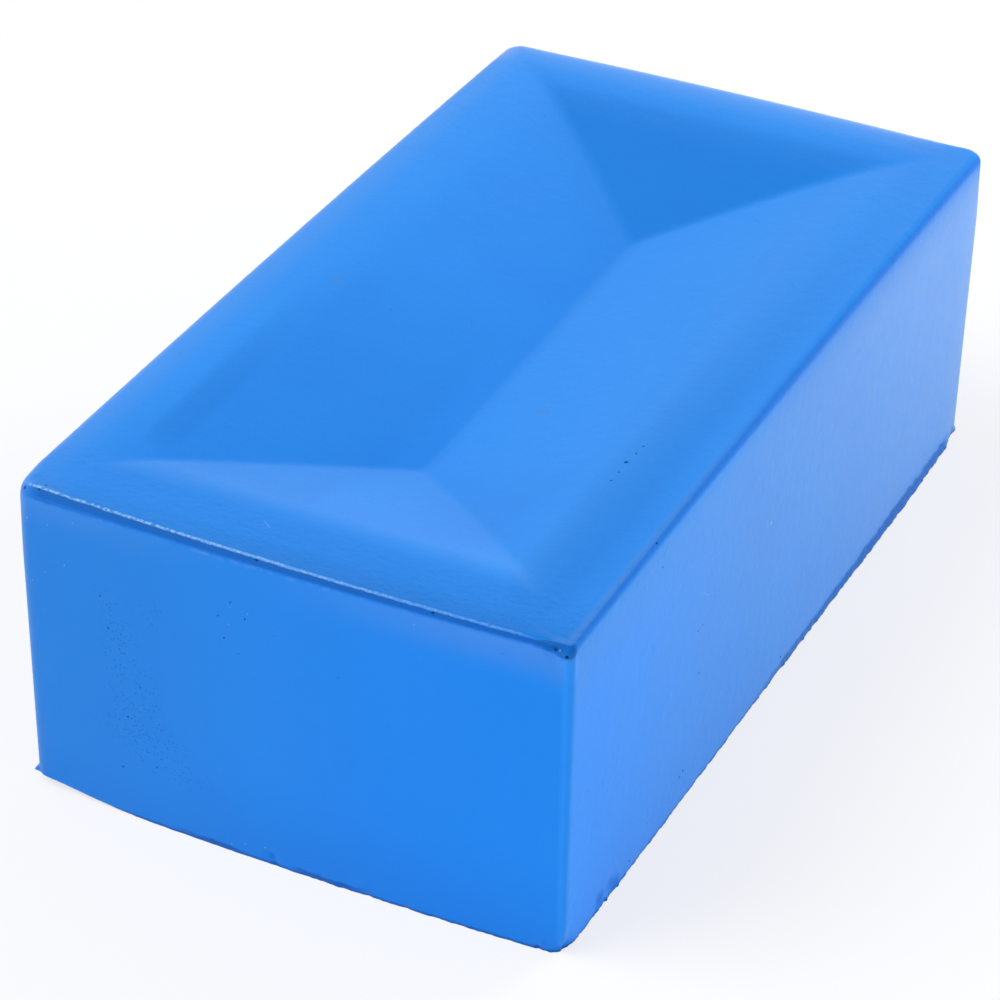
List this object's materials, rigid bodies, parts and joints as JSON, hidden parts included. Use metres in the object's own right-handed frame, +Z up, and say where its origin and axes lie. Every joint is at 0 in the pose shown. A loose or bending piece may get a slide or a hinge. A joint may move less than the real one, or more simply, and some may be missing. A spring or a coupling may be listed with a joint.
{
  "type": "stress brick",
  "caption": "Palm-sized block of soft moulded foam for squeezing, shaped as a building brick with a hipped hollow in its top face.",
  "frame": {"origin": "middle of the flat base, on the surface the brick stands on, at the bottom centre of its bounding box", "axes": "+X along the brick's length, +Y across its width, +Z up out of the hollowed top face"},
  "size_m": [0.0918, 0.051, 0.0306],
  "materials": {
    "foam_skin": "bright blue self-skinned polyurethane foam, matt with a slight sheen, a fine orange-peel skin and scattered pinholes"
  },
  "bodies": {
    "root": {"foam_brick": "foam_skin"}
  },
  "joints": []
}
